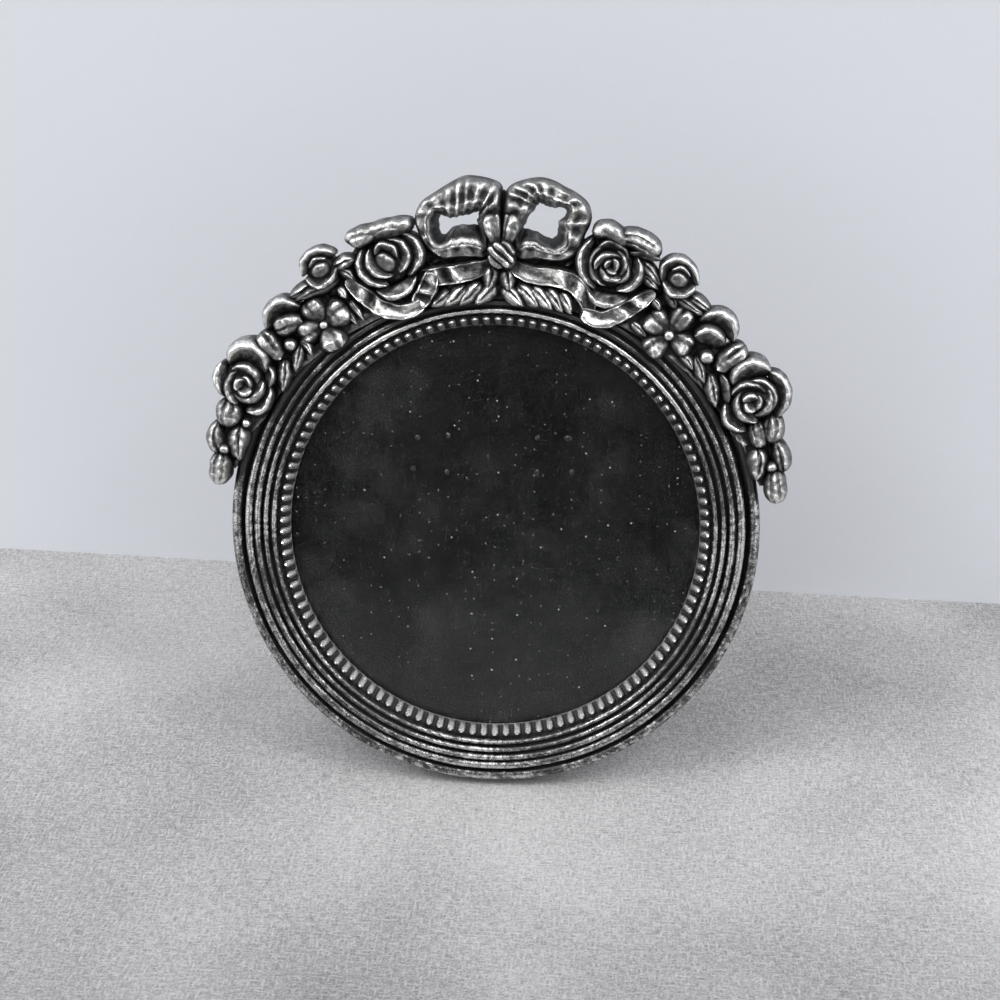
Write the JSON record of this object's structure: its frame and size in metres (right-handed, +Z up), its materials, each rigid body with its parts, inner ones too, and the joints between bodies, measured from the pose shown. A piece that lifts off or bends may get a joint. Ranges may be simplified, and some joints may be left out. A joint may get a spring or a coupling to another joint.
{
  "type": "picture frame",
  "caption": "Small round antiqued pewter table frame with reeded and beaded ring, rose garland and ribbon bow crest, glass, backboard with turn buttons and hinged strut.",
  "frame": {"origin": "bottom centre of the box of the standing frame with its strut open, on the table", "axes": "+Z up, front of the frame faces -Y and leans back 15 degrees, +X to the viewer's right"},
  "size_m": [0.1076, 0.0364, 0.1118],
  "materials": {
    "antique_pewter": "antiqued pewter, dark oxide in the recesses and burnished crests",
    "clear_glass": "clear flat glass with a little dust",
    "black_liner": "matt black card",
    "black_backing": "short black velvet over card",
    "hinge_steel": "dull plated steel",
    "button_brass": "satin, slightly tarnished"
  },
  "bodies": {
    "frame": {"ring_moulding": "antique_pewter", "bead_ring": "antique_pewter", "rose_garland": "antique_pewter", "glass": "clear_glass", "photo_liner": "black_liner", "backboard": "black_backing", "hinge_leaf_board_left": "hinge_steel", "hinge_leaf_board_right": "hinge_steel", "hinge_pin_left": "hinge_steel", "hinge_pin_right": "hinge_steel", "button_rivet_1": "button_brass", "button_rivet_2": "button_brass", "button_rivet_3": "button_brass", "button_rivet_4": "button_brass"},
    "strut": {"strut_board": "black_backing", "hinge_leaf_strut_left": "hinge_steel", "hinge_leaf_strut_right": "hinge_steel"},
    "button_1": {"turn_button_1": "button_brass"},
    "button_2": {"turn_button_2": "button_brass"},
    "button_3": {"turn_button_3": "button_brass"},
    "button_4": {"turn_button_4": "button_brass"}
  },
  "joints": [
    {"name": "strut_fold", "type": "hinge", "parent": "frame", "child": "strut", "pos_m": [0, 0.00467, 0.05256], "axis": [1, 0, 0], "range_deg": [-29, 0]},
    {"name": "button_1_turn", "type": "hinge", "parent": "frame", "child": "button_1", "pos_m": [0.03038, 0.0097, 0.08024], "axis": [0, -0.9659, 0.2588], "range_deg": [-90, 90]},
    {"name": "button_2_turn", "type": "hinge", "parent": "frame", "child": "button_2", "pos_m": [0.03038, -0.00776, 0.01506], "axis": [0, -0.9659, 0.2588], "range_deg": [-90, 90]},
    {"name": "button_3_turn", "type": "hinge", "parent": "frame", "child": "button_3", "pos_m": [-0.03038, -0.00776, 0.01506], "axis": [0, -0.9659, 0.2588], "range_deg": [-90, 90]},
    {"name": "button_4_turn", "type": "hinge", "parent": "frame", "child": "button_4", "pos_m": [-0.03038, 0.0097, 0.08024], "axis": [0, -0.9659, 0.2588], "range_deg": [-90, 90]}
  ]
}
